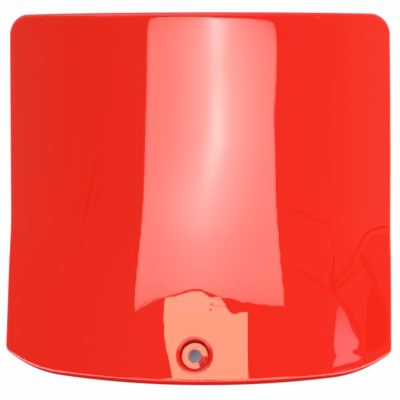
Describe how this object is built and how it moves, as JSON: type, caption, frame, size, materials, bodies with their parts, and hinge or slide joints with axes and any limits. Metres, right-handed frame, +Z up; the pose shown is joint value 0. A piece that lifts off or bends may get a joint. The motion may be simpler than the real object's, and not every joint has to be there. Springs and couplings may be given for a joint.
{
  "type": "access cover",
  "caption": "Bowed gloss red plastic access cover with rolled edges, a kicked-out lower edge and a recessed screw hole, moulded hooks behind its top edge.",
  "frame": {"origin": "centre of the screw's seat, the flat floor of the recess in the front face", "axes": "+X to the right seen from the front, -Y out of the front face, +Z up towards the hooked top edge"},
  "size_m": [0.2046, 0.0618, 0.1887],
  "materials": {
    "gloss_red": "high gloss, moulded in colour"
  },
  "bodies": {
    "root": {"access_cover": "gloss_red"}
  },
  "joints": []
}
